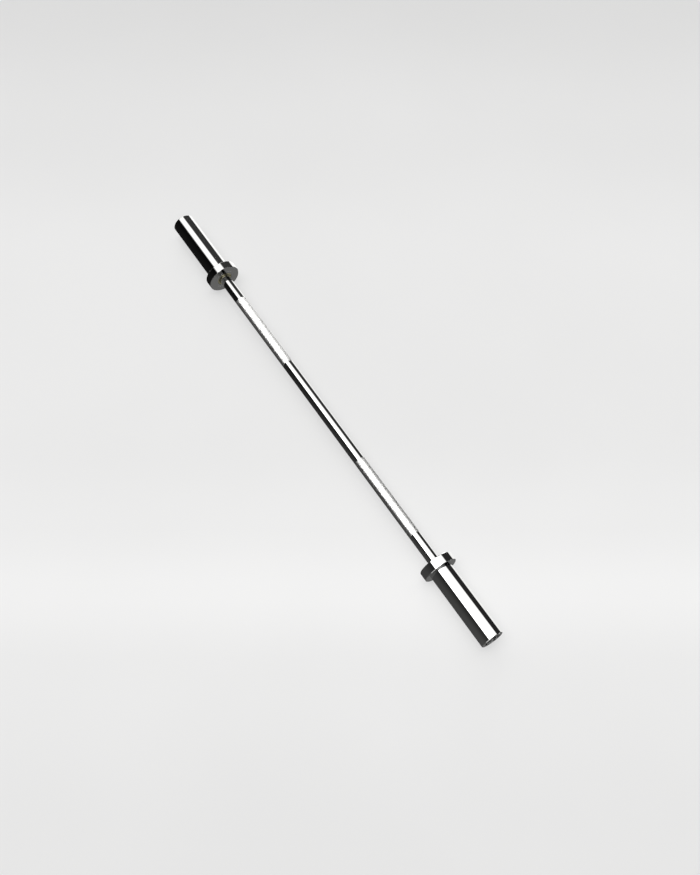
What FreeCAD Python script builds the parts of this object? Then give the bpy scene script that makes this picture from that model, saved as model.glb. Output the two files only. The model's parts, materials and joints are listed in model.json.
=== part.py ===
"""A short straight barbell with turning sleeves: the bar lies along X, with its middle at the origin.

One end is described once, from the middle of the bar outwards, and is placed twice: as it is for the
right end, and turned half a turn about Z for the left end.
"""
import FreeCAD, Part
import os
import Sketcher

# Driving sizes in millimetres
SIZES = {
    "grip_length": 835,
    "shaft_diameter": 25,
    "knurl_end_gap": 72,
    "knurl_length": 203,
    "knurl_rise": 0.15,
    "knurl_runout": 0.5,
    "journal_step": 1.5,
    "shaft_chamfer": 1,
    "lathe_centre_radius": 3,
    "lathe_centre_depth": 5,
    "sleeve_length": 172.5,
    "sleeve_diameter": 50,
    "sleeve_wall": 5,
    "sleeve_chamfer": 1.2,
    "collar_diameter": 75,
    "collar_thickness": 20,
    "collar_chamfer": 1,
    "collar_seat_step": 1.5,
    "collar_relief": 0.3,
    "bush_wall": 2.5,
    "bush_length": 28,
    "bush_chamfer": 0.5,
    "bush_land": 4,
    "flange_width": 2.5,
    "flange_thickness": 3,
    "flange_recess": 0.5,
    "running_clearance": 0.05,
    "seat_clearance": 0.1,
    "grease_gap": 3,
    "washer_thickness": 2,
    "washer_side_gap": 0.5,
    "end_play": 0.4,
    "web_length": 8,
    "web_side_gap": 0.5,
    "ring_thickness": 1.5,
    "ring_mouth": 3,
    "ring_setback": 4,
    "shaft_groove_depth": 0.8,
    "lug_radius": 1.9,
    "lug_hole_diameter": 1.6,
    "cap_step": 3,
    "cap_groove_depth": 1.2,
    "cap_ring_width": 3,
    "cap_thickness": 3,
    "cap_recess": 3,
    "cap_rim": 6,
    "cap_dish_depth": 0.8,
    "cap_gap": 6,
}

# Distances from the middle of the bar, outwards along one end
INNER_FACE = "sizes.grip_length / 2"
COLLAR_FACE = f"{INNER_FACE} + sizes.collar_thickness"
SLEEVE_END = f"{COLLAR_FACE} + sizes.sleeve_length"
KNURL_OUTER = f"{INNER_FACE} - sizes.knurl_end_gap"
KNURL_INNER = f"{KNURL_OUTER} - sizes.knurl_length"
FLANGE_FACE = f"{INNER_FACE} + sizes.flange_recess"
FLANGE_BACK = f"{FLANGE_FACE} + sizes.flange_thickness"
INNER_BUSH_END = f"{FLANGE_BACK} + sizes.bush_length"
SHOULDER = f"{INNER_BUSH_END} + sizes.grease_gap"
WEB_INNER = f"{SHOULDER} + sizes.washer_thickness + sizes.end_play"
WEB_OUTER = f"{WEB_INNER} + sizes.web_length"
CAP_RING = f"{SLEEVE_END} - sizes.cap_recess - sizes.ring_thickness"
CAP_SEAT = f"{CAP_RING} - sizes.cap_thickness"
SHAFT_END = f"{CAP_SEAT} - sizes.cap_gap"
SHAFT_RING = f"{SHAFT_END} - sizes.ring_setback - sizes.ring_thickness"
BACKING_WASHER = f"{SHAFT_RING} - sizes.washer_thickness"
THRUST_WASHER = f"{BACKING_WASHER} - sizes.washer_thickness"
OUTER_BUSH_END = f"{THRUST_WASHER} - sizes.end_play"
OUTER_BUSH_START = f"{OUTER_BUSH_END} - sizes.bush_length"

# Radii, each fit worked out from the piece that it runs on or seats in
AXIS = "0"
SHAFT_RADIUS = "sizes.shaft_diameter / 2"
KNURL_RADIUS = f"{SHAFT_RADIUS} + sizes.knurl_rise"
JOURNAL_RADIUS = f"{SHAFT_RADIUS} - sizes.journal_step"
SHAFT_GROOVE_RADIUS = f"{JOURNAL_RADIUS} - sizes.shaft_groove_depth"
INNER_BUSH_BORE = f"{SHAFT_RADIUS} + sizes.running_clearance"
OUTER_BUSH_BORE = f"{JOURNAL_RADIUS} + sizes.running_clearance"
SLEEVE_BORE = f"{INNER_BUSH_BORE} + sizes.bush_wall"
FLANGE_RADIUS = f"{SLEEVE_BORE} + sizes.flange_width"
FLANGE_SEAT_RADIUS = f"{FLANGE_RADIUS} + sizes.seat_clearance"
WEB_BORE = f"{JOURNAL_RADIUS} + sizes.web_side_gap"
WASHER_RADIUS = f"{SLEEVE_BORE} - sizes.washer_side_gap"
SHAFT_RING_RADIUS = f"{WASHER_RADIUS} - sizes.lug_radius"
SLEEVE_RADIUS = "sizes.sleeve_diameter / 2"
TUBE_BORE = f"{SLEEVE_RADIUS} - sizes.sleeve_wall"
COLLAR_SEAT_RADIUS = f"{SLEEVE_RADIUS} - sizes.collar_seat_step"
COLLAR_RADIUS = "sizes.collar_diameter / 2"
CAP_SEAT_RADIUS = f"{SLEEVE_BORE} + sizes.cap_step"
CAP_RADIUS = f"{CAP_SEAT_RADIUS} - sizes.seat_clearance"
CAP_DISH_RADIUS = f"{CAP_RADIUS} - sizes.cap_rim"
CAP_GROOVE_RADIUS = f"{CAP_SEAT_RADIUS} + sizes.cap_groove_depth"
CAP_RING_BORE = f"{CAP_GROOVE_RADIUS} - sizes.cap_ring_width"

RIGHT = FreeCAD.Placement()
LEFT = FreeCAD.Placement(FreeCAD.Vector(0, 0, 0), FreeCAD.Rotation(FreeCAD.Vector(0, 0, 1), 180))
EDGE_TOLERANCE = 1e-4

doc = FreeCAD.newDocument("barbell")


def make_sheet():
    """The driving sizes, one named cell each."""
    sheet = doc.addObject("Spreadsheet::Sheet", "sizes")
    for row, (name, value) in enumerate(SIZES.items(), start=1):
        sheet.set(f"A{row}", name)
        sheet.set(f"B{row}", str(value))
        sheet.setAlias(f"B{row}", name)
    doc.recompute()
    return sheet


sheet = make_sheet()


def value_of(expression):
    return float(sheet.evalExpression(expression))


def origin_plane(body, role):
    return next(feature for feature in body.Origin.OriginFeatures if feature.Role == role)


def new_body(label, placement):
    body = doc.addObject("PartDesign::Body", label)
    body.Label = label
    body.Placement = placement
    return body


def long_sketch(body, name):
    """A sketch along the bar: across is the distance from the middle, and up is the radius."""
    sketch = body.newObject("Sketcher::SketchObject", name)
    sketch.AttachmentSupport = [(origin_plane(body, "XY_Plane"), "")]
    sketch.MapMode = "FlatFace"
    return sketch


def cross_sketch(body, name, station):
    """A sketch square to the bar, at a distance from the middle."""
    sketch = body.newObject("Sketcher::SketchObject", name)
    sketch.AttachmentSupport = [(origin_plane(body, "YZ_Plane"), "")]
    sketch.MapMode = "FlatFace"
    sketch.setExpression("AttachmentOffset.Base.z", station)
    return sketch


def bind(sketch, constraint, expression):
    """Add a dimension to a sketch and tie it to the sheet."""
    index = sketch.addConstraint(constraint)
    name = f"size_{index}"
    sketch.renameConstraint(index, name)
    sketch.setExpression(f"Constraints.{name}", expression)


def pin_point(sketch, geometry, point, across, up):
    """Hold one point of a sketch at a distance from the origin along both axes."""
    for kind, expression in (("DistanceX", across), ("DistanceY", up)):
        distance = Sketcher.Constraint(kind, -1, 1, geometry, point, value_of(expression))
        if expression == AXIS:
            sketch.addConstraint(distance)
        else:
            bind(sketch, distance, expression)


def draw_outline(sketch, outline):
    """A closed outline of straight lines through (across, up) corners."""
    corners = [FreeCAD.Vector(value_of(across), value_of(up), 0) for across, up in outline]
    count = len(corners)
    for index in range(count):
        sketch.addGeometry(Part.LineSegment(corners[index], corners[(index + 1) % count]), False)
    for index in range(count):
        sketch.addConstraint(Sketcher.Constraint("Coincident", index, 2, (index + 1) % count, 1))
    for index, (across, up) in enumerate(outline):
        pin_point(sketch, index, 1, across, up)
    return sketch


def draw_circles(sketch, circles):
    """Circles, each given as (across, up, radius)."""
    for across, up, radius in circles:
        centre = FreeCAD.Vector(value_of(across), value_of(up), 0)
        circle = Part.Circle(centre, FreeCAD.Vector(0, 0, 1), value_of(radius))
        index = sketch.addGeometry(circle, False)
        pin_point(sketch, index, 3, across, up)
        bind(sketch, Sketcher.Constraint("Radius", index, value_of(radius)), radius)
    return sketch


def turn(body, name, outline, kind="PartDesign::Revolution"):
    """Turn an outline about the bar's axis, to add metal or, as a groove, to cut it."""
    sketch = draw_outline(long_sketch(body, f"{name}_outline"), outline)
    feature = body.newObject(kind, name)
    feature.Profile = (sketch, [""])
    feature.ReferenceAxis = (sketch, ["H_Axis"])
    feature.Angle = 360
    doc.recompute()
    return feature


def cut_groove(body, name, outline):
    """Turn an outline out of the body, and make sure that it removed metal."""
    before = body.Shape.Volume
    groove = turn(body, name, outline, "PartDesign::Groove")
    if not groove.Shape.Volume < before:
        raise RuntimeError(f"{body.Label}: {name} removed nothing")
    return groove


def rectangle(start, end, low, high):
    return [(start, low), (end, low), (end, high), (start, high)]


def chamfer_rims(body, name, rims, size):
    """Break the circular edges found at the given (distance along the bar, radius) places."""
    base = body.Tip
    edges = []
    for along, radius in rims:
        for index, edge in enumerate(base.Shape.Edges, start=1):
            if not isinstance(edge.Curve, Part.Circle):
                continue
            same_place = abs(edge.Curve.Center.x - value_of(along)) < EDGE_TOLERANCE
            if same_place and abs(edge.Curve.Radius - value_of(radius)) < EDGE_TOLERANCE:
                edges.append(f"Edge{index}")
    chamfer = body.newObject("PartDesign::Chamfer", name)
    chamfer.Base = (base, edges)
    chamfer.setExpression("Size", size)
    doc.recompute()
    return chamfer


def pad(body, name, sketch, thickness):
    feature = body.newObject("PartDesign::Pad", name)
    feature.Profile = (sketch, [""])
    feature.setExpression("Length", thickness)
    doc.recompute()
    return feature


def cut_through(body, name, sketch):
    """Cut a sketch through the whole body both ways, and make sure that it removed metal."""
    before = body.Shape.Volume
    pocket = body.newObject("PartDesign::Pocket", name)
    pocket.Profile = (sketch, [""])
    pocket.Type = "ThroughAll"
    pocket.SideType = "Symmetric"
    doc.recompute()
    if not pocket.Shape.Volume < before:
        raise RuntimeError(f"{body.Label}: {name} removed nothing")
    return pocket


def make_shaft():
    """The one-piece bar: half of it is turned with its knurl bands and journal, then mirrored."""
    body = new_body("shaft", RIGHT)
    turn(body, "half_bar", [
        (AXIS, AXIS),
        (SHAFT_END, AXIS),
        (SHAFT_END, JOURNAL_RADIUS),
        (SHOULDER, JOURNAL_RADIUS),
        (SHOULDER, SHAFT_RADIUS),
        (KNURL_OUTER, SHAFT_RADIUS),
        (f"{KNURL_OUTER} - sizes.knurl_runout", KNURL_RADIUS),
        (f"{KNURL_INNER} + sizes.knurl_runout", KNURL_RADIUS),
        (KNURL_INNER, SHAFT_RADIUS),
        (AXIS, SHAFT_RADIUS),
    ])
    chamfer_rims(body, "end_chamfer", [(SHAFT_END, JOURNAL_RADIUS)], "sizes.shaft_chamfer")
    ring_end = f"{SHAFT_RING} + sizes.ring_thickness"
    cut_groove(body, "ring_groove", rectangle(SHAFT_RING, ring_end, SHAFT_GROOVE_RADIUS, JOURNAL_RADIUS))
    cut_groove(body, "lathe_centre", [
        (f"{SHAFT_END} - sizes.lathe_centre_depth", AXIS),
        (SHAFT_END, AXIS),
        (SHAFT_END, "sizes.lathe_centre_radius"),
    ])
    mirror = body.newObject("PartDesign::Mirrored", "other_half")
    mirror.TransformMode = "Whole shape"
    mirror.MirrorPlane = (origin_plane(body, "YZ_Plane"), [""])
    body.Tip = mirror
    return body


def make_sleeve(side, placement):
    """The loadable tube, bored for a bush at both ends and wider between, with a web to take the thrust."""
    body = new_body(f"{side}_sleeve", placement)
    land_start = f"{OUTER_BUSH_START} - sizes.bush_land"
    turn(body, "tube", [
        (INNER_FACE, FLANGE_SEAT_RADIUS),
        (INNER_FACE, COLLAR_SEAT_RADIUS),
        (COLLAR_FACE, COLLAR_SEAT_RADIUS),
        (COLLAR_FACE, SLEEVE_RADIUS),
        (SLEEVE_END, SLEEVE_RADIUS),
        (SLEEVE_END, CAP_SEAT_RADIUS),
        (CAP_SEAT, CAP_SEAT_RADIUS),
        (CAP_SEAT, SLEEVE_BORE),
        (land_start, SLEEVE_BORE),
        (land_start, TUBE_BORE),
        (WEB_OUTER, TUBE_BORE),
        (WEB_OUTER, WEB_BORE),
        (WEB_INNER, WEB_BORE),
        (WEB_INNER, SLEEVE_BORE),
        (FLANGE_BACK, SLEEVE_BORE),
        (FLANGE_BACK, FLANGE_SEAT_RADIUS),
    ])
    chamfer_rims(body, "end_chamfer", [(SLEEVE_END, SLEEVE_RADIUS)], "sizes.sleeve_chamfer")
    ring_end = f"{CAP_RING} + sizes.ring_thickness"
    cut_groove(body, "ring_groove", rectangle(CAP_RING, ring_end, CAP_SEAT_RADIUS, CAP_GROOVE_RADIUS))
    return body


def make_collar(side, placement):
    """The thick ring that stops the plates, pressed on the sleeve's turned-down seat.

    Its lead-in opens a little wider than the sleeve, so that the plates meet only a flat face.
    """
    body = new_body(f"{side}_collar", placement)
    turn(body, "ring", rectangle(INNER_FACE, COLLAR_FACE, COLLAR_SEAT_RADIUS, COLLAR_RADIUS))
    rims = [(INNER_FACE, COLLAR_RADIUS), (COLLAR_FACE, COLLAR_RADIUS)]
    chamfer_rims(body, "rim_chamfer", rims, "sizes.collar_chamfer")
    bore_rim = [(COLLAR_FACE, COLLAR_SEAT_RADIUS)]
    chamfer_rims(body, "lead_in", bore_rim, "sizes.collar_seat_step + sizes.collar_relief")
    return body


def make_inner_bush(side, placement):
    """The flanged bush at the collar, which runs on the shaft and shows as a ring round it."""
    body = new_body(f"{side}_inner_bush", placement)
    turn(body, "flanged_bush", [
        (FLANGE_FACE, INNER_BUSH_BORE),
        (FLANGE_FACE, FLANGE_RADIUS),
        (FLANGE_BACK, FLANGE_RADIUS),
        (FLANGE_BACK, SLEEVE_BORE),
        (INNER_BUSH_END, SLEEVE_BORE),
        (INNER_BUSH_END, INNER_BUSH_BORE),
    ])
    rims = [(FLANGE_FACE, INNER_BUSH_BORE), (FLANGE_FACE, FLANGE_RADIUS)]
    chamfer_rims(body, "flange_chamfer", rims, "sizes.bush_chamfer")
    return body


def make_outer_bush(side, placement):
    """The plain bush at the far end of the sleeve, which runs on the shaft's journal."""
    body = new_body(f"{side}_outer_bush", placement)
    turn(body, "plain_bush", rectangle(OUTER_BUSH_START, OUTER_BUSH_END, OUTER_BUSH_BORE, SLEEVE_BORE))
    rims = [(OUTER_BUSH_START, SLEEVE_BORE), (OUTER_BUSH_END, OUTER_BUSH_BORE)]
    chamfer_rims(body, "lead_in", rims, "sizes.bush_chamfer")
    return body


def make_washer(label, placement, station):
    """A flat washer on the journal."""
    body = new_body(label, placement)
    circles = [(AXIS, AXIS, OUTER_BUSH_BORE), (AXIS, AXIS, WASHER_RADIUS)]
    sketch = draw_circles(cross_sketch(body, "disc_outline", station), circles)
    pad(body, "disc", sketch, "sizes.washer_thickness")
    return body


def make_snap_ring(label, placement, station, inner_radius, outer_radius, lug_distance):
    """An open spring ring with a drilled lug on each side of its mouth, which is at the top."""
    body = new_body(label, placement)
    circles = [(AXIS, AXIS, inner_radius), (AXIS, AXIS, outer_radius)]
    ring_sketch = draw_circles(cross_sketch(body, "ring_outline", station), circles)
    pad(body, "ring", ring_sketch, "sizes.ring_thickness")

    half_mouth = "sizes.ring_mouth / 2"
    across = f"{half_mouth} + sizes.lug_radius"
    up = f"sqrt(({lug_distance}) ^ 2 - ({across}) ^ 2)"
    lug_circle = [(across, up, "sizes.lug_radius")]
    lug_sketch = draw_circles(cross_sketch(body, "lug_outline", station), lug_circle)
    lug = pad(body, "lug", lug_sketch, "sizes.ring_thickness")
    hole_circle = [(across, up, "sizes.lug_hole_diameter / 2")]
    hole_sketch = draw_circles(cross_sketch(body, "hole_outline", station), hole_circle)
    hole = cut_through(body, "lug_hole", hole_sketch)
    mirror = body.newObject("PartDesign::Mirrored", "other_lug")
    mirror.Originals = [lug, hole]
    mirror.MirrorPlane = (origin_plane(body, "XZ_Plane"), [""])
    body.Tip = mirror
    doc.recompute()

    above_ring = f"{outer_radius} + sizes.lug_radius"
    mouth_outline = rectangle(f"-{half_mouth}", half_mouth, AXIS, above_ring)
    mouth_sketch = draw_outline(cross_sketch(body, "mouth_outline", station), mouth_outline)
    cut_through(body, "mouth", mouth_sketch)
    return body


def make_end_cap(side, placement):
    """The dished disc that closes the sleeve's mouth."""
    body = new_body(f"{side}_end_cap", placement)
    dish = f"{CAP_RING} - sizes.cap_dish_depth"
    turn(body, "disc", [
        (CAP_SEAT, AXIS),
        (CAP_SEAT, CAP_RADIUS),
        (CAP_RING, CAP_RADIUS),
        (CAP_RING, f"{CAP_DISH_RADIUS} + sizes.cap_dish_depth"),
        (dish, CAP_DISH_RADIUS),
        (dish, AXIS),
    ])
    return body


def make_end(side, placement):
    """Everything that sits on one end of the shaft."""
    return [
        make_sleeve(side, placement),
        make_collar(side, placement),
        make_inner_bush(side, placement),
        make_outer_bush(side, placement),
        make_washer(f"{side}_shoulder_washer", placement, SHOULDER),
        make_washer(f"{side}_thrust_washer", placement, THRUST_WASHER),
        make_washer(f"{side}_backing_washer", placement, BACKING_WASHER),
        make_snap_ring(f"{side}_shaft_snap_ring", placement, SHAFT_RING,
                       SHAFT_GROOVE_RADIUS, SHAFT_RING_RADIUS, SHAFT_RING_RADIUS),
        make_end_cap(side, placement),
        make_snap_ring(f"{side}_cap_snap_ring", placement, CAP_RING,
                       CAP_RING_BORE, CAP_GROOVE_RADIUS, CAP_RING_BORE),
    ]


def check_document(bodies):
    """Stop before anything is written if a feature failed or a piece is not one sound solid."""
    for item in doc.Objects:
        if "Invalid" in item.State or "Error" in item.State:
            raise RuntimeError(f"{item.Label} failed: {item.State}")
    for body in bodies:
        if body.Shape.isNull() or not body.Shape.isValid() or len(body.Shape.Solids) != 1:
            raise RuntimeError(f"{body.Label} is not one sound solid")


def write_parts(bodies):
    os.makedirs("parts", exist_ok=True)
    for body in bodies:
        body.Shape.exportStep(f"parts/{body.Label}.step")
        print(f"{body.Label}: {body.Shape.Volume / 1000:.2f} cm3")


bodies = [make_shaft()] + make_end("right", RIGHT) + make_end("left", LEFT)
doc.recompute()
check_document(bodies)
write_parts(bodies)
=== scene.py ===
"""The looks of a short chrome barbell: turned pieces, a cut knurl, metal finishes and a pale studio."""
import json
import math

import bpy
from mathutils import Matrix, Vector


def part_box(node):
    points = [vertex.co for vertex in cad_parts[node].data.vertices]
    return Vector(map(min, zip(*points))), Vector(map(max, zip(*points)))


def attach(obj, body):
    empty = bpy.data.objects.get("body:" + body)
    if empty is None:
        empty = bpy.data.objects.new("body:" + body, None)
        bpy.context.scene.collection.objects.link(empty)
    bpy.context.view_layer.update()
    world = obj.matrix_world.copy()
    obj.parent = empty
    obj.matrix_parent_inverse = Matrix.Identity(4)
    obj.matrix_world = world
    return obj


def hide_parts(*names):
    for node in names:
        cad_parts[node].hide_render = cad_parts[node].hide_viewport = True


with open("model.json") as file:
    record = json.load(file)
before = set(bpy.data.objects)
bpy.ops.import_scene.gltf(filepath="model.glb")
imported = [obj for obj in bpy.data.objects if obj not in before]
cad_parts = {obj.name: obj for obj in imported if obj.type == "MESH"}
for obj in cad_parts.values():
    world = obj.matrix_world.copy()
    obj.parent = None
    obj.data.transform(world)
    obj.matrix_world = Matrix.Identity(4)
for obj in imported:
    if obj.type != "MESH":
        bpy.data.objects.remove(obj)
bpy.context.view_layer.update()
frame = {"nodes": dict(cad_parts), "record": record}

# How finely the turned pieces are drawn, in metres
MM = 0.001
STARTS = 64                      # knurl grooves round the shaft, each way
SEGMENTS = 2 * STARTS            # a crest and a valley for each groove
EDGE_ROUND = 0.2 * MM
EDGE_SHARE = 0.4                 # the most of a short stretch that one rounded edge takes
ARC_STEPS = 3

# Lengths along one end
KNURL_END_GAP = 72 * MM
KNURL_LENGTH = 203 * MM
FLANGE_THICKNESS = 3 * MM
END_PLAY = 0.4 * MM
WEB_LENGTH = 8 * MM
BUSH_LAND = 4 * MM

# Stations along the right end, from the middle of the bar outwards
_, SHAFT_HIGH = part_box("shaft")
_, SLEEVE_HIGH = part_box("right_sleeve")
COLLAR_LOW, COLLAR_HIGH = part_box("right_collar")
BUSH_LOW, BUSH_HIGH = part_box("right_inner_bush")
OUTER_BUSH_LOW, OUTER_BUSH_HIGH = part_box("right_outer_bush")
SHOULDER_WASHER_LOW, SHOULDER_WASHER_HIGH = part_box("right_shoulder_washer")
SHAFT_RING_LOW, SHAFT_RING_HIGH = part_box("right_shaft_snap_ring")
CAP_LOW, CAP_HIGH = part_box("right_end_cap")
CAP_RING_LOW, CAP_RING_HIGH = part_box("right_cap_snap_ring")
FLANGE_BACK = BUSH_LOW.x + FLANGE_THICKNESS
WEB_INNER = SHOULDER_WASHER_HIGH.x + END_PLAY
WEB_OUTER = WEB_INNER + WEB_LENGTH
LAND_START = OUTER_BUSH_LOW.x - BUSH_LAND
KNURL_OUTER = COLLAR_LOW.x - KNURL_END_GAP
KNURL_INNER = KNURL_OUTER - KNURL_LENGTH

# Walls, steps and gaps across the bar
SLEEVE_WALL = 5 * MM
WEB_SIDE_GAP = 0.5 * MM
RUNNING_CLEARANCE = 0.05 * MM
SEAT_CLEARANCE = 0.1 * MM
COLLAR_SEAT_STEP = 1.5 * MM
CAP_RIM = 6 * MM

# Radii and small breaks of edge
SHAFT_RADIUS = 12.5 * MM
JOURNAL_RADIUS = 11 * MM
SHAFT_GROOVE_RADIUS = 10.2 * MM
LATHE_CENTRE_RADIUS = 3 * MM
LATHE_CENTRE_DEPTH = 5 * MM
SHAFT_CHAMFER = 1 * MM
SLEEVE_BORE = OUTER_BUSH_HIGH.y
TUBE_BORE = SLEEVE_HIGH.y - SLEEVE_WALL
WEB_BORE = JOURNAL_RADIUS + WEB_SIDE_GAP
BUSH_BORE = SHAFT_RADIUS + RUNNING_CLEARANCE
FLANGE_SEAT_RADIUS = BUSH_HIGH.y + SEAT_CLEARANCE
BUSH_CHAMFER = 0.5 * MM
COLLAR_SEAT_RADIUS = SLEEVE_HIGH.y - COLLAR_SEAT_STEP
COLLAR_LEAD_IN = 1.8 * MM
COLLAR_CHAMFER = 1 * MM
SLEEVE_CHAMFER = 1.2 * MM
CAP_SEAT_RADIUS = CAP_HIGH.y + SEAT_CLEARANCE
CAP_DISH_RADIUS = CAP_HIGH.y - CAP_RIM
CAP_DISH_DEPTH = 0.8 * MM

# The knurl: low pyramids between two sets of crossing grooves
KNURL_ANGLE = math.radians(30)
KNURL_DEPTH = 0.13 * MM
KNURL_EDGE_DEPTH = 0.3 * MM
KNURL_EDGE_WIDTH = 0.35 * MM
KNURL_CREST = SHAFT_HIGH.y
KNURL_ROOT = KNURL_CREST - KNURL_DEPTH
KNURL_EDGE_RADIUS = SHAFT_RADIUS - KNURL_EDGE_DEPTH

# Marks in the finishes: repeats in a metre along each axis, the range of noise that shows, and depths
POLISH_SCALE = (2600, 30, 30)
POLISH_RANGE = (0.3, 0.75)
POLISH_SHARE = 0.6               # roughness of the brightest lines, as a share of the dullest
POLISH_DEPTH = 0.0004 * MM
HAZE_SCALE = (28, 60, 60)
HAZE_RANGE = (0.45, 0.8)
HAZE_ROUGHNESS = 0.02
SCRATCH_SCALE = (14, 1900, 1900)
SCRATCH_RANGE = (0.66, 0.74)
GRIT_SCALE = (1500, 1500, 1500)
GRIT_RANGE = (0.35, 0.7)
GRIT_ROUGHNESS = 0.06
GRIT_DEPTH = 0.004 * MM
TOOL_SCALE = (3200, 25, 25)
TOOL_DEPTH = 0.002 * MM
TARNISH_SCALE = (130, 130, 130)
TARNISH_SHARE = 0.4
TARNISH_RANGE = (0.35, 0.65)
DULL_RANGE = (0.3, 0.7)

# Colours of the plating, and the roughness of the knurl from its roots to its crests
CHROME_COLOURS = ((0.78, 0.785, 0.785), (0.82, 0.82, 0.81))
KNURL_COLOURS = ((0.82, 0.82, 0.815), (0.94, 0.94, 0.935))
KNURL_ROUGHNESS = (0.3, 0.22)

# Painted shade: a near-black ring on the bush round its bore, where the gap to the shaft falls into
# shade
BORE_SHADE_COLOUR = (0.05, 0.048, 0.04)
BORE_SHADE_WIDTH = 0.7 * MM
BORE_SHADE_FADE = 0.8 * MM
BORE_SHADE_EDGE = BUSH_BORE + BORE_SHADE_WIDTH

# The view of the photograph
AIM = Vector((0.08523, 0.01369, 0))
CAMERA_AZIMUTH = 56.2216
CAMERA_ELEVATION = 63.9222
CAMERA_DISTANCE = 2.2726
FIELD_OF_VIEW = 45

# The studio's light, as (how far a ray leans along the bar, level), where a level of 1 shows as white
FRONT_FLAG = (
    (-1, 0.1), (-0.8, 0.08), (-0.76, 0.3), (-0.7, 0.3), (-0.61, 0.006), (-0.53, 0.006), (-0.12, 0.055),
    (0.16, 0.08), (0.57, 0.12), (0.64, 0.08), (0.8, 0.08), (0.87, 0.35), (1, 0.35),
)
BACK_FLAG = (
    (-1, 0.5), (-0.88, 0.5), (-0.8, 0.08), (-0.76, 3.3), (-0.665, 3.3), (-0.605, 0.04), (-0.53, 0.04),
    (-0.15, 0.02), (0.05, 0), (0.57, 0), (0.62, 0.12), (0.78, 0.12), (0.84, 0.05), (1, 0.05),
)
RIGHT_GROUND = (                 # reaches further forward than the ground, for rays that lean right
    (-1, 0.006), (-0.53, 0.006), (-0.12, 0.055), (0.05, 0.17), (0.16, 0.15),
    (0.57, 0.147), (0.64, 0.03), (1, 0.1),
)
GROUND = (
    (-1, 0.1), (-0.88, 0.1), (-0.8, 1.2), (-0.76, 2.6), (-0.65, 2.6), (-0.59, 1.3), (-0.36, 1.1),
    (-0.15, 1.1), (-0.08, 0.05), (0.05, 0.15), (0.57, 0.147), (0.64, 1.2), (0.78, 1.2), (0.85, 0.13),
    (1, 0.13),
)
FRONT_SHADE_REACH = (-0.9, 0.0)  # from deep in front to the softbox's front edge
FRONT_SHADE = (1.3, 0.3)         # what the front flag's level is multiplied by there

# A small lamp off the right end, by the way to it and how closely a ray has to follow that way
END_LAMP = (0.93, -0.25, -0.05)
END_LAMP_EDGE = (0.93, 0.97)
END_LAMP_LEVEL = 0.7

# The softbox, as shares of its level, which rises from its back edge to its front
SOFTBOX = (
    (-1, 1), (-0.04, 1), (0.05, 0.25), (0.12, 0.08), (0.24, 0.08), (0.28, 0.8), (0.38, 0.8),
    (0.42, 0.08), (0.57, 0.07), (0.64, 1), (0.82, 1), (0.88, 0.1), (1, 0.1),
)
SOFTBOX_BACK_LEVEL = 1.3
SOFTBOX_FRONT_LEVEL = 6
SOFTBOX_RISE = (0.22, 0.65)
SOFTBOX_FRONT_FADE = (0, 0.13)
SOFTBOX_FRONT_SHARE = 0.27
SOFTBOX_SOFTNESS = 0.04

# Edges of the cards, each given as a plane through the bar, and the lean from which they run along it
CARD_BEND = 0.55
CARD_SOFTNESS = 0.012
SOFTBOX_FRONT_EDGE = (0.22, 1, 0.785)
SOFTBOX_BACK_EDGE = (1.71, -1, 1.661)
GROUND_EDGE = (-0.934, -1, -2.084)
GROUND_FRONT_EDGE = (0, 1, 0.36)
GROUND_END_EDGE = (-0.42, 0, -1)  # keeps the bright ground out of the rims at the right end
GROUND_END_SOFTNESS = 0.05
RIGHT_GROUND_FRONT_EDGE = (0, 1, 0.1)
BACK_FLAG_FRONT_EDGE = (0, 1, 0)
STUDIO_TINT = (1.0, 0.997, 0.985, 1)

# The floor's paleness, with painted bands of light and shade across the view, as (metres behind the
# middle of the view, level)
FLOOR_PAINTED_LIGHT = (
    (-5, 0.815), (-1, 0.78), (-0.8, 0.79), (-0.5, 0.82), (-0.33, 0.875), (-0.18, 0.835), (0, 0.81),
    (0.5, 0.81), (0.9, 0.775), (1.4, 0.71), (5, 0.815),
)
FLOOR_GLOW = 0.7                 # share of the floor's own pale colour that shows in any light
FLOOR_SIZE = 80
FLOOR_ROUGHNESS = 0.9
FLOOR_SPECULAR = 0.1
MOTTLE_SCALE = (1.5, 1.5, 1.5)
MOTTLE_RANGE = (0.3, 0.7)
MOTTLE_LEVEL = (0.99, 1.01)

# The backdrop, a dome that comes down past level
BACKDROP_LIGHT = 0.81
BACKDROP_RADIUS = 60
BACKDROP_RINGS = 12
BACKDROP_STEPS = 48
BACKDROP_REACH = 0.55 * math.pi


def left_of(way):
    return Vector((-way.y, way.x))


def rounded_corner(corner, before, after, room):
    """Points and normals of a small arc in place of a corner between two straight stretches."""
    turn = before.angle_signed(after)
    bulge = 1 if turn > 0 else -1
    half = math.tan(abs(turn) / 2)
    radius = min(EDGE_ROUND, EDGE_SHARE * room / half)
    normal = left_of(before)
    centre = corner - before * (radius * half) - normal * (bulge * radius)
    arc = []
    for step in range(ARC_STEPS + 1):
        leaning = Matrix.Rotation(-turn * step / ARC_STEPS, 2) @ normal
        arc.append((centre + leaning * (bulge * radius), leaning))
    return arc


def rounded_outline(outline, closed):
    """(point, normal) pairs along an outline of (along, radius) corners. The metal is on its right."""
    corners = [Vector(corner) for corner in outline]
    count = len(corners)
    pairs = []
    for index, corner in enumerate(corners):
        before = corner - corners[index - 1]
        after = corners[(index + 1) % count] - corner
        if not closed and index == 0:
            pairs.append((corner, left_of(after.normalized())))
        elif not closed and index == count - 1:
            pairs.append((corner, left_of(before.normalized())))
        else:
            room = min(before.length, after.length)
            pairs += rounded_corner(corner, before.normalized(), after.normalized(), room)
    return pairs


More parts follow.
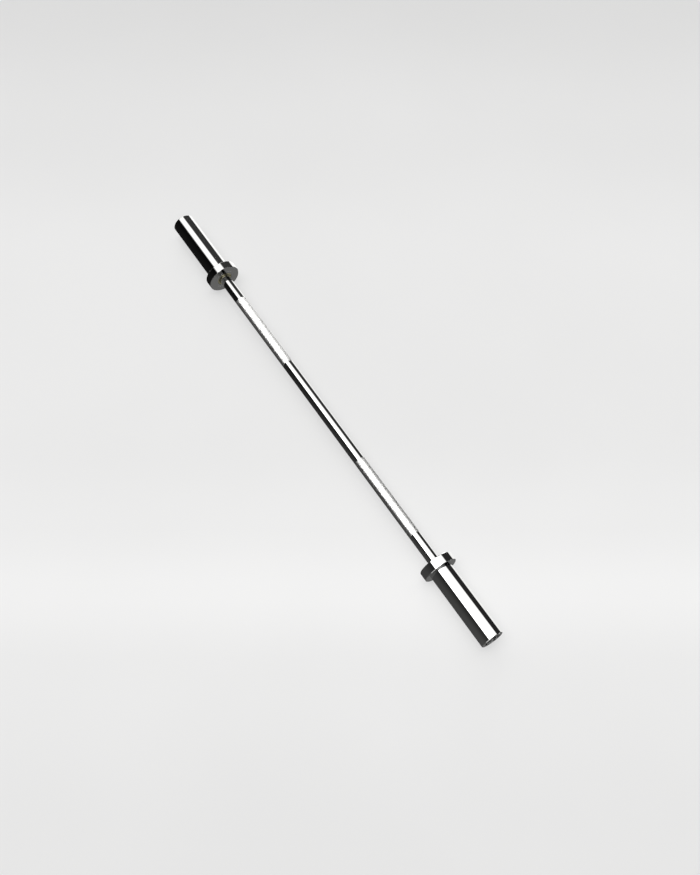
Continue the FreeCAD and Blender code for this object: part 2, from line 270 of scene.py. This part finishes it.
class Shape:
    """Points and faces of one turned piece. On side -1 it is turned half a turn about Z."""

    def __init__(self, side=1):
        self.side = side
        self.points = []
        self.faces = []
        self.normals = []
        self.smooth = []
        self.materials = []

    def spin(self, along, out, angle):
        return Vector((self.side * along, self.side * out * math.cos(angle), out * math.sin(angle)))

    def add_point(self, along, radius, angle=0.0):
        self.points.append(self.spin(along, radius, angle))
        return len(self.points) - 1

    def add_ring(self, along, radius):
        """A full ring of points, or on the axis the one point that stands for it."""
        if radius == 0:
            return [self.add_point(along, 0)] * SEGMENTS
        return [self.add_point(along, radius, math.tau * step / SEGMENTS) for step in range(SEGMENTS)]

    def add_face(self, corners, normals=None, material=0):
        """One face. With no normals it is shaded flat."""
        self.faces.append(corners)
        self.normals += normals or [Vector((0, 0, 0))] * len(corners)
        self.smooth.append(normals is not None)
        self.materials.append(material)

    def add_band(self, ring, next_ring, normal, next_normal):
        """The faces between two rings, whose normals are given as (along, out)."""
        for step in range(SEGMENTS):
            after = (step + 1) % SEGMENTS
            corners = [
                (ring[step], normal, step),
                (ring[after], normal, step + 1),
                (next_ring[after], next_normal, step + 1),
                (next_ring[step], next_normal, step),
            ]
            if ring[step] == ring[after]:
                corners.pop(0)
            if next_ring[step] == next_ring[after]:
                corners.pop()
            points = [point for point, _, _ in corners]
            normals = [self.spin(*way, math.tau * place / SEGMENTS) for _, way, place in corners]
            self.add_face(points, normals)

    def add_outline(self, outline, closed=False):
        """Turn an outline about the bar's axis, and return its first and last rings."""
        pairs = rounded_outline(outline, closed)
        rings = [self.add_ring(place.x, max(place.y, 0)) for place, _ in pairs]
        spans = list(zip(range(len(pairs)), range(1, len(pairs))))
        if closed:
            spans.append((len(pairs) - 1, 0))
        for here, there in spans:
            self.add_band(rings[here], rings[there], pairs[here][1], pairs[there][1])
        return rings[0], rings[-1]

    def build(self, name, materials):
        """The finished object, in its place."""
        mesh = bpy.data.meshes.new(name)
        mesh.from_pydata(self.points, [], self.faces)
        for material in materials:
            mesh.materials.append(material)
        mesh.polygons.foreach_set("material_index", self.materials)
        mesh.polygons.foreach_set("use_smooth", self.smooth)
        mesh.normals_split_custom_set(self.normals)
        return add_to_scene(name, mesh)


def add_to_scene(name, data):
    made = bpy.data.objects.new(name, data)
    bpy.context.scene.collection.objects.link(made)
    return made


def add_knurl(shape, first_ring, last_ring, start, end, material):
    """A diamond knurl between two rings of root points."""
    cell_length = math.tau * SHAFT_RADIUS / STARTS / math.tan(KNURL_ANGLE)
    rows = 2 * round((end - start) / cell_length)
    row_length = (end - start) / rows
    segment = math.tau / SEGMENTS
    valleys = {(0, step): point for step, point in enumerate(first_ring)}
    valleys.update({(rows, step): point for step, point in enumerate(last_ring)})
    for row in range(1, rows):
        for step in range(row % 2, SEGMENTS, 2):
            valleys[row, step] = shape.add_point(start + row * row_length, KNURL_ROOT, step * segment)

    def add_pyramid(row, step):
        crest = shape.add_point(start + row * row_length, KNURL_CREST, step * segment)
        ways = ((-1, 0), (0, 1), (1, 0), (0, -1))
        foot = [valleys[row + up, (step + over) % SEGMENTS] for up, over in ways]
        for index in range(4):
            shape.add_face([foot[index], foot[(index + 1) % 4], crest], material=material)

    def add_half_cell(row, step, tip_row):
        edge = [valleys[row, (step + over) % SEGMENTS] for over in (-1, 0, 1)]
        tip = valleys[tip_row, step]
        if tip_row < row:
            edge.reverse()
        shape.add_face([edge[0], edge[1], tip], material=material)
        shape.add_face([edge[1], edge[2], tip], material=material)

    for row in range(rows + 1):
        for step in range((row + 1) % 2, SEGMENTS, 2):
            if row == 0:
                add_half_cell(row, step, 1)
            elif row == rows:
                add_half_cell(row, step, rows - 1)
            else:
                add_pyramid(row, step)


def make_shaft(materials):
    """The bar: smooth steel with two knurled bands, stepped down to a journal at each end."""
    shape = Shape()
    end_outline = [
        (KNURL_OUTER - 2 * KNURL_EDGE_WIDTH, KNURL_ROOT),
        (KNURL_OUTER - KNURL_EDGE_WIDTH, KNURL_EDGE_RADIUS),
        (KNURL_OUTER, SHAFT_RADIUS),
        (SHOULDER_WASHER_LOW.x, SHAFT_RADIUS),
        (SHOULDER_WASHER_LOW.x, JOURNAL_RADIUS),
        (SHAFT_RING_LOW.x, JOURNAL_RADIUS),
        (SHAFT_RING_LOW.x, SHAFT_GROOVE_RADIUS),
        (SHAFT_RING_HIGH.x, SHAFT_GROOVE_RADIUS),
        (SHAFT_RING_HIGH.x, JOURNAL_RADIUS),
        (SHAFT_HIGH.x - SHAFT_CHAMFER, JOURNAL_RADIUS),
        (SHAFT_HIGH.x, JOURNAL_RADIUS - SHAFT_CHAMFER),
        (SHAFT_HIGH.x, LATHE_CENTRE_RADIUS),
        (SHAFT_HIGH.x - LATHE_CENTRE_DEPTH, 0),
    ]
    half_middle = [
        (KNURL_INNER, SHAFT_RADIUS),
        (KNURL_INNER + KNURL_EDGE_WIDTH, KNURL_EDGE_RADIUS),
        (KNURL_INNER + 2 * KNURL_EDGE_WIDTH, KNURL_ROOT),
    ]
    middle_outline = [(-along, radius) for along, radius in reversed(half_middle)] + half_middle
    far_outline = [(-along, radius) for along, radius in reversed(end_outline)]
    _, left_start = shape.add_outline(far_outline)
    left_end, right_start = shape.add_outline(middle_outline)
    right_end, _ = shape.add_outline(end_outline)
    knurl_start = half_middle[-1][0]
    knurl_end = end_outline[0][0]
    add_knurl(shape, left_start, left_end, -knurl_end, -knurl_start, 1)
    add_knurl(shape, right_start, right_end, knurl_start, knurl_end, 1)
    piece = shape.build("knurled_shaft", materials)
    dress(piece, "bar", "shaft")


def make_sleeve(name, side, material):
    """The loadable tube with its mouth, the groove for the cap's ring, and the web inside."""
    shape = Shape(side)
    shape.add_outline([
        (COLLAR_LOW.x, FLANGE_SEAT_RADIUS),
        (COLLAR_LOW.x, COLLAR_SEAT_RADIUS),
        (COLLAR_HIGH.x, COLLAR_SEAT_RADIUS),
        (COLLAR_HIGH.x, SLEEVE_HIGH.y),
        (SLEEVE_HIGH.x - SLEEVE_CHAMFER, SLEEVE_HIGH.y),
        (SLEEVE_HIGH.x, SLEEVE_HIGH.y - SLEEVE_CHAMFER),
        (SLEEVE_HIGH.x, CAP_SEAT_RADIUS),
        (CAP_RING_HIGH.x, CAP_SEAT_RADIUS),
        (CAP_RING_HIGH.x, CAP_RING_HIGH.y),
        (CAP_RING_LOW.x, CAP_RING_HIGH.y),
        (CAP_RING_LOW.x, CAP_SEAT_RADIUS),
        (CAP_LOW.x, CAP_SEAT_RADIUS),
        (CAP_LOW.x, SLEEVE_BORE),
        (LAND_START, SLEEVE_BORE),
        (LAND_START, TUBE_BORE),
        (WEB_OUTER, TUBE_BORE),
        (WEB_OUTER, WEB_BORE),
        (WEB_INNER, WEB_BORE),
        (WEB_INNER, SLEEVE_BORE),
        (FLANGE_BACK, SLEEVE_BORE),
        (FLANGE_BACK, FLANGE_SEAT_RADIUS),
    ], closed=True)
    piece = shape.build(f"{name}_turned_sleeve", [material])
    dress(piece, f"{name}_end", f"{name}_sleeve")


def make_collar(name, side, material):
    """The thick ring with a broken edge on both faces."""
    shape = Shape(side)
    shape.add_outline([
        (COLLAR_LOW.x, COLLAR_SEAT_RADIUS),
        (COLLAR_LOW.x, COLLAR_HIGH.y - COLLAR_CHAMFER),
        (COLLAR_LOW.x + COLLAR_CHAMFER, COLLAR_HIGH.y),
        (COLLAR_HIGH.x - COLLAR_CHAMFER, COLLAR_HIGH.y),
        (COLLAR_HIGH.x, COLLAR_HIGH.y - COLLAR_CHAMFER),
        (COLLAR_HIGH.x, COLLAR_SEAT_RADIUS + COLLAR_LEAD_IN),
        (COLLAR_HIGH.x - COLLAR_LEAD_IN, COLLAR_SEAT_RADIUS),
    ], closed=True)
    piece = shape.build(f"{name}_turned_collar", [material])
    dress(piece, f"{name}_end", f"{name}_collar")


def make_inner_bush(name, side, material):
    """The flanged bush that shows as a ring round the shaft."""
    shape = Shape(side)
    shape.add_outline([
        (BUSH_LOW.x + BUSH_CHAMFER, BUSH_BORE),
        (BUSH_LOW.x, BUSH_BORE + BUSH_CHAMFER),
        (BUSH_LOW.x, BUSH_HIGH.y - BUSH_CHAMFER),
        (BUSH_LOW.x + BUSH_CHAMFER, BUSH_HIGH.y),
        (FLANGE_BACK, BUSH_HIGH.y),
        (FLANGE_BACK, SLEEVE_BORE),
        (BUSH_HIGH.x, SLEEVE_BORE),
        (BUSH_HIGH.x, BUSH_BORE),
    ], closed=True)
    piece = shape.build(f"{name}_turned_bush", [material])
    dress(piece, f"{name}_end", f"{name}_inner_bush")


def make_end_cap(name, side, material):
    """The dished disc in the sleeve's mouth."""
    shape = Shape(side)
    dish = CAP_HIGH.x - CAP_DISH_DEPTH
    shape.add_outline([
        (CAP_LOW.x, 0),
        (CAP_LOW.x, CAP_HIGH.y),
        (CAP_HIGH.x, CAP_HIGH.y),
        (CAP_HIGH.x, CAP_DISH_RADIUS + CAP_DISH_DEPTH),
        (dish, CAP_DISH_RADIUS),
        (dish, 0),
    ])
    piece = shape.build(f"{name}_dished_cap", [material])
    dress(piece, f"{name}_end", f"{name}_end_cap")


def dress(piece, body, node):
    """Let a piece stand for its CAD node and move with its body."""
    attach(piece, body)
    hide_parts(node)


def add_node(tree, kind, **settings):
    made = tree.nodes.new(kind)
    for name, value in settings.items():
        setattr(made, name, value)
    return made


def feed(tree, socket, value):
    """Link an output to a socket, or set the socket to a plain value."""
    if isinstance(value, bpy.types.NodeSocket):
        tree.links.new(value, socket)
    elif isinstance(socket, bpy.types.NodeSocketColor):
        socket.default_value = (*value, 1)
    else:
        socket.default_value = value


def calculate(tree, operation, *values):
    made = add_node(tree, "ShaderNodeMath", operation=operation)
    for socket, value in zip(made.inputs, values):
        feed(tree, socket, value)
    return made.outputs["Value"]


def remap(tree, value, low, high, to_low, to_high, kind="SMOOTHSTEP"):
    """Carry a value from one range to another, held inside it."""
    made = add_node(tree, "ShaderNodeMapRange", interpolation_type=kind)
    for socket, given in zip(made.inputs, (value, low, high, to_low, to_high)):
        feed(tree, socket, given)
    return made.outputs["Result"]


def blend_colours(tree, share, first, second):
    made = add_node(tree, "ShaderNodeMix", data_type="RGBA")
    feed(tree, made.inputs["Factor"], share)
    feed(tree, made.inputs[6], first)
    feed(tree, made.inputs[7], second)
    return made.outputs[2]


def lay_over(tree, share, under, over):
    """Blend a second level over a first one."""
    made = add_node(tree, "ShaderNodeMix", data_type="FLOAT")
    feed(tree, made.inputs[0], share)
    feed(tree, made.inputs[2], under)
    feed(tree, made.inputs[3], over)
    return made.outputs["Result"]


def noise(tree, place, scale, detail):
    """Noise over a place that is stretched by a scale along each axis."""
    stretched = add_node(tree, "ShaderNodeVectorMath", operation="MULTIPLY")
    tree.links.new(place, stretched.inputs[0])
    stretched.inputs[1].default_value = scale
    made = add_node(tree, "ShaderNodeTexNoise")
    tree.links.new(stretched.outputs["Vector"], made.inputs["Vector"])
    made.inputs["Scale"].default_value = 1.0
    made.inputs["Detail"].default_value = detail
    return made.outputs["Fac"]


def own_place(tree):
    return add_node(tree, "ShaderNodeTexCoord").outputs["Object"]


def parts_of(tree, place):
    """The X, Y and Z of a place."""
    split = add_node(tree, "ShaderNodeSeparateXYZ")
    tree.links.new(place, split.inputs["Vector"])
    return split.outputs["X"], split.outputs["Y"], split.outputs["Z"]


def place_from(tree, *parts):
    joined = add_node(tree, "ShaderNodeCombineXYZ")
    for socket, part in zip(joined.inputs, parts):
        feed(tree, socket, part)
    return joined.outputs["Vector"]


def radius_of(tree, place):
    """How far a place lies from the bar's axis."""
    _, across, up = parts_of(tree, place)
    squares = [calculate(tree, "MULTIPLY", part, part) for part in (across, up)]
    return calculate(tree, "SQRT", calculate(tree, "ADD", *squares))


def turned_place(tree, place):
    """A place whose first axis runs along the bar on a round side, and outwards on a flat face."""
    along, across, up = parts_of(tree, place)
    return place_from(tree, calculate(tree, "ADD", along, radius_of(tree, place)), across, up)


def add_bump(tree, shader, height, depth):
    bump = add_node(tree, "ShaderNodeBump")
    bump.inputs["Distance"].default_value = depth
    tree.links.new(height, bump.inputs["Height"])
    tree.links.new(bump.outputs["Normal"], shader.inputs["Normal"])


def new_material(name):
    material = bpy.data.materials.new(name)
    material.use_nodes = True
    return material, material.node_tree


def new_metal(name):
    material, tree = new_material(name)
    shader = tree.nodes["Principled BSDF"]
    shader.inputs["Metallic"].default_value = 1.0
    return material, tree, shader


def chrome(name, gloss=0.04, scratches=0.0):
    """Bright plating with faint polishing lines, haze, and the marks that plates leave on a sleeve."""
    material, tree, shader = new_metal(name)
    place = own_place(tree)
    lines = noise(tree, turned_place(tree, place), POLISH_SCALE, detail=3)
    haze = noise(tree, place, HAZE_SCALE, detail=4)
    polish = remap(tree, lines, *POLISH_RANGE, gloss * POLISH_SHARE, gloss)
    rough = calculate(tree, "ADD", polish, remap(tree, haze, *HAZE_RANGE, 0.0, HAZE_ROUGHNESS))
    if scratches:
        marks = noise(tree, place, SCRATCH_SCALE, detail=2)
        rough = calculate(tree, "ADD", rough, remap(tree, marks, *SCRATCH_RANGE, 0.0, scratches))
    colour = blend_colours(tree, haze, *CHROME_COLOURS)
    feed(tree, shader.inputs["Base Color"], colour)
    feed(tree, shader.inputs["Roughness"], rough)
    add_bump(tree, shader, lines, POLISH_DEPTH)
    return material


def knurled_chrome(name):
    """Plating over the knurl: bright on the worn crests, and duller down the cut flanks."""
    material, tree, shader = new_metal(name)
    place = own_place(tree)
    height = remap(tree, radius_of(tree, place), KNURL_ROOT, KNURL_CREST, 0.0, 1.0)
    grit = noise(tree, place, GRIT_SCALE, detail=3)
    worn = remap(tree, height, 0.0, 1.0, *KNURL_ROUGHNESS)
    rough = calculate(tree, "ADD", worn, remap(tree, grit, *GRIT_RANGE, 0.0, GRIT_ROUGHNESS))
    colour = blend_colours(tree, height, *KNURL_COLOURS)
    feed(tree, shader.inputs["Base Color"], colour)
    feed(tree, shader.inputs["Roughness"], rough)
    add_bump(tree, shader, grit, GRIT_DEPTH)
    return material


def turned_metal(name, dark, light, gloss, dull, shade_edge=None):
    """Bare metal off the lathe: circles from the tool, patches of tarnish, and painted shade darkening
    the colour round a bore.
    """
    material, tree, shader = new_metal(name)
    place = own_place(tree)
    lines = noise(tree, turned_place(tree, place), TOOL_SCALE, detail=3)
    patches = noise(tree, place, TARNISH_SCALE, detail=5)
    mixed = lay_over(tree, TARNISH_SHARE, lines, patches)
    colour = blend_colours(tree, remap(tree, mixed, *TARNISH_RANGE, 0.0, 1.0), dark, light)
    # Painted shade: the colour turns near black close to the bore
    if shade_edge:
        unshaded = remap(tree, radius_of(tree, place), shade_edge, shade_edge + BORE_SHADE_FADE, 0.0, 1.0)
        colour = blend_colours(tree, unshaded, BORE_SHADE_COLOUR, colour)
    feed(tree, shader.inputs["Base Color"], colour)
    feed(tree, shader.inputs["Roughness"], remap(tree, mixed, *DULL_RANGE, gloss, dull))
    add_bump(tree, shader, lines, TOOL_DEPTH)
    return material


def bronze(name):
    """Plain bronze, with painted shade darkening it where it meets the shaft."""
    dark = (0.58, 0.54, 0.33)
    light = (0.78, 0.74, 0.5)
    return turned_metal(name, dark, light, gloss=0.24, dull=0.36, shade_edge=BORE_SHADE_EDGE)


def washer_steel(name):
    """Ground steel."""
    dark = (0.42, 0.42, 0.43)
    light = (0.6, 0.61, 0.62)
    return turned_metal(name, dark, light, gloss=0.25, dull=0.45)


def spring_steel(name):
    """Dark oiled steel."""
    dark = (0.09, 0.09, 0.1)
    light = (0.2, 0.19, 0.18)
    return turned_metal(name, dark, light, gloss=0.28, dull=0.5)


def cap_steel(name):
    """Bright turned steel."""
    dark = (0.5, 0.51, 0.52)
    light = (0.68, 0.69, 0.7)
    return turned_metal(name, dark, light, gloss=0.14, dull=0.3)


def make_materials():
    """A finish for each slot of the record, and one more for the knurl."""
    return {
        "chrome_shaft": chrome("chrome_shaft"),
        "knurl": knurled_chrome("chrome_knurl"),
        "chrome_sleeve": chrome("chrome_sleeve", scratches=0.1),
        "chrome_collar": chrome("chrome_collar", gloss=0.05),
        "bronze": bronze("bronze"),
        "washer_steel": washer_steel("washer_steel"),
        "spring_steel": spring_steel("spring_steel"),
        "cap_steel": cap_steel("cap_steel"),
    }


def paint_nodes(materials):
    """Give each CAD node the finish of its slot."""
    for subpart in frame["record"]["subparts"]:
        node = frame["nodes"][subpart["node"]]
        for slot in node.material_slots:
            slot.material = materials[subpart["material_slot"]]


def beside(tree, ray, edge):
    """How far a ray lies on the inner side of a plane through the bar."""
    side = add_node(tree, "ShaderNodeVectorMath", operation="DOT_PRODUCT")
    tree.links.new(ray, side.inputs[0])
    side.inputs[1].default_value = Vector(edge).normalized()
    return side.outputs["Value"]


def card(tree, ray, edges, softness=CARD_SOFTNESS):
    """1 for a ray that meets a flat card, 0 for one that passes it."""
    inside = 1.0
    for edge in edges:
        step = remap(tree, beside(tree, ray, edge), -softness, softness, 0.0, 1.0)
        inside = calculate(tree, "MULTIPLY", step, inside)
    return inside


def level_along(tree, value, stops, kind="LINEAR"):
    """A level that follows a value through (value, level) stops."""
    low = stops[0][0]
    high = stops[-1][0]
    ramp = add_node(tree, "ShaderNodeValToRGB")
    ramp.color_ramp.interpolation = kind
    elements = ramp.color_ramp.elements
    while len(elements) < len(stops):
        elements.new(0.5)        # moved to its own place below
    for element, (along, level) in zip(elements, stops):
        element.position = (along - low) / (high - low)
        element.color = (level, level, level, 1)
    tree.links.new(remap(tree, value, low, high, 0.0, 1.0, "LINEAR"), ramp.inputs["Fac"])
    return ramp.outputs["Color"]


def make_studio():
    """What lights the bar and shows in its chrome: a softbox above, dark flags, and pale ground behind.

    Edges of cards are tested on a folded ray, so that they lie alike towards both ends of the bar.
    """
    world = bpy.data.worlds.new("studio")
    bpy.context.scene.world = world
    world.use_nodes = True
    tree = world.node_tree
    ray = add_node(tree, "ShaderNodeTexCoord").outputs["Generated"]
    lean, across, up = parts_of(tree, ray)
    reach = calculate(tree, "MINIMUM", calculate(tree, "ABSOLUTE", lean), CARD_BEND)
    folded = place_from(tree, calculate(tree, "MULTIPLY", reach, -1.0), across, up)

    front = beside(tree, folded, SOFTBOX_FRONT_EDGE)
    shade = remap(tree, front, *FRONT_SHADE_REACH, *FRONT_SHADE, "LINEAR")
    light = calculate(tree, "MULTIPLY", level_along(tree, lean, FRONT_FLAG), shade)
    back = card(tree, folded, [BACK_FLAG_FRONT_EDGE, Vector(GROUND_EDGE) * -1])
    right_ground = card(tree, folded, [GROUND_EDGE, RIGHT_GROUND_FRONT_EDGE])
    ground = card(tree, folded, [GROUND_EDGE, GROUND_FRONT_EDGE])
    ground_end = card(tree, ray, [GROUND_END_EDGE], GROUND_END_SOFTNESS)
    ground = calculate(tree, "MULTIPLY", ground, ground_end)
    for stops, mask in ((BACK_FLAG, back), (RIGHT_GROUND, right_ground), (GROUND, ground)):
        light = lay_over(tree, mask, light, level_along(tree, lean, stops))

    depth = beside(tree, folded, SOFTBOX_BACK_EDGE)
    level = remap(tree, depth, *SOFTBOX_RISE, SOFTBOX_BACK_LEVEL, SOFTBOX_FRONT_LEVEL)
    fade = remap(tree, front, *SOFTBOX_FRONT_FADE, SOFTBOX_FRONT_SHARE, 1.0)
    share = calculate(tree, "MULTIPLY", level_along(tree, lean, SOFTBOX), fade)
    softbox = calculate(tree, "MULTIPLY", share, level)
    edges = [SOFTBOX_FRONT_EDGE, SOFTBOX_BACK_EDGE]
    light = lay_over(tree, card(tree, folded, edges, SOFTBOX_SOFTNESS), light, softbox)
    lamp = remap(tree, beside(tree, ray, END_LAMP), *END_LAMP_EDGE, 0.0, END_LAMP_LEVEL)

    background = tree.nodes["Background"]
    background.inputs["Color"].default_value = STUDIO_TINT
    tree.links.new(calculate(tree, "MAXIMUM", light, lamp), background.inputs["Strength"])


def floor_paint():
    """Pale paint with painted bands of light, that mostly glows in its own colour where it is seen, and
    takes the bar's shadow.
    """
    material, tree = new_material("floor")
    shader = tree.nodes["Principled BSDF"]
    shader.inputs["Roughness"].default_value = FLOOR_ROUGHNESS
    shader.inputs["Specular IOR Level"].default_value = FLOOR_SPECULAR
    place = own_place(tree)
    _, behind, _ = parts_of(tree, place)
    mottle = remap(tree, noise(tree, place, MOTTLE_SCALE, detail=3), *MOTTLE_RANGE, *MOTTLE_LEVEL)
    # Painted light: the colour is lighter and darker in bands by how far behind the middle of the view
    # a place lies
    colour = calculate(tree, "MULTIPLY", level_along(tree, behind, FLOOR_PAINTED_LIGHT, "EASE"), mottle)
    tree.links.new(colour, shader.inputs["Base Color"])

    path = add_node(tree, "ShaderNodeLightPath")
    seen = path.outputs["Is Camera Ray"]
    for kind in ("Is Glossy Ray", "Is Transmission Ray"):
        seen = calculate(tree, "MAXIMUM", seen, path.outputs[kind])
    glow = add_node(tree, "ShaderNodeEmission")
    tree.links.new(colour, glow.inputs["Color"])
    mix = add_node(tree, "ShaderNodeMixShader")
    tree.links.new(calculate(tree, "MULTIPLY", seen, FLOOR_GLOW), mix.inputs["Fac"])
    tree.links.new(shader.outputs["BSDF"], mix.inputs[1])
    tree.links.new(glow.outputs["Emission"], mix.inputs[2])
    tree.links.new(mix.outputs["Shader"], tree.nodes["Material Output"].inputs["Surface"])
    return material


def make_floor():
    """A pale sweep under the collars, turned to the camera so its painted bands of light run across the
    view. The chrome mirrors the studio instead.
    """
    half = FLOOR_SIZE / 2
    corners = [(-half, -half, 0), (half, -half, 0), (half, half, 0), (-half, half, 0)]
    mesh = bpy.data.meshes.new("floor")
    mesh.from_pydata(corners, [], [(0, 1, 2, 3)])
    mesh.materials.append(floor_paint())
    floor = add_to_scene("floor", mesh)
    floor.location = (AIM.x, AIM.y, COLLAR_LOW.z)
    floor.rotation_euler.z = math.radians(CAMERA_AZIMUTH)
    floor.visible_glossy = False


def backdrop_glow():
    """An even pale glow."""
    material, tree = new_material("backdrop")
    tree.nodes.remove(tree.nodes["Principled BSDF"])
    glow = add_node(tree, "ShaderNodeEmission")
    glow.inputs["Strength"].default_value = BACKDROP_LIGHT
    tree.links.new(glow.outputs["Emission"], tree.nodes["Material Output"].inputs["Surface"])
    return material


def make_backdrop():
    """A pale dome that only the camera sees, for views that look past the floor."""
    steps = BACKDROP_STEPS
    points = [(0, 0, BACKDROP_RADIUS)]
    for ring in range(1, BACKDROP_RINGS + 1):
        tilt = ring / BACKDROP_RINGS * BACKDROP_REACH
        for step in range(steps):
            turn = math.tau * step / steps
            points.append((
                BACKDROP_RADIUS * math.sin(tilt) * math.cos(turn),
                BACKDROP_RADIUS * math.sin(tilt) * math.sin(turn),
                BACKDROP_RADIUS * math.cos(tilt),
            ))
    faces = [(0, 1 + (step + 1) % steps, 1 + step) for step in range(steps)]
    for ring in range(BACKDROP_RINGS - 1):
        first = 1 + ring * steps
        for step in range(steps):
            after = (step + 1) % steps
            faces.append((first + step, first + after, first + steps + after, first + steps + step))
    mesh = bpy.data.meshes.new("backdrop")
    mesh.from_pydata(points, [], faces)
    mesh.materials.append(backdrop_glow())
    backdrop = add_to_scene("backdrop", mesh)
    for ray in ("diffuse", "glossy", "transmission", "volume_scatter", "shadow"):
        setattr(backdrop, f"visible_{ray}", False)


def place_camera():
    """The camera of the photograph: high over the right end, looking along the bar."""
    azimuth = math.radians(CAMERA_AZIMUTH)
    elevation = math.radians(CAMERA_ELEVATION)
    level = math.cos(elevation)
    back = Vector((math.sin(azimuth) * level, -math.cos(azimuth) * level, math.sin(elevation)))
    data = bpy.data.cameras.new("camera")
    data.angle = math.radians(FIELD_OF_VIEW)
    camera = add_to_scene("camera", data)
    camera.location = AIM + CAMERA_DISTANCE * back
    camera.rotation_euler = back.to_track_quat("Z", "Y").to_euler()
    bpy.context.scene.camera = camera


materials = make_materials()
paint_nodes(materials)
make_shaft([materials["chrome_shaft"], materials["knurl"]])
for name, side in (("right", 1), ("left", -1)):
    make_sleeve(name, side, materials["chrome_sleeve"])
    make_collar(name, side, materials["chrome_collar"])
    make_inner_bush(name, side, materials["bronze"])
    make_end_cap(name, side, materials["cap_steel"])
make_studio()
make_floor()
make_backdrop()
place_camera()
bpy.context.scene.view_settings.view_transform = "Standard"
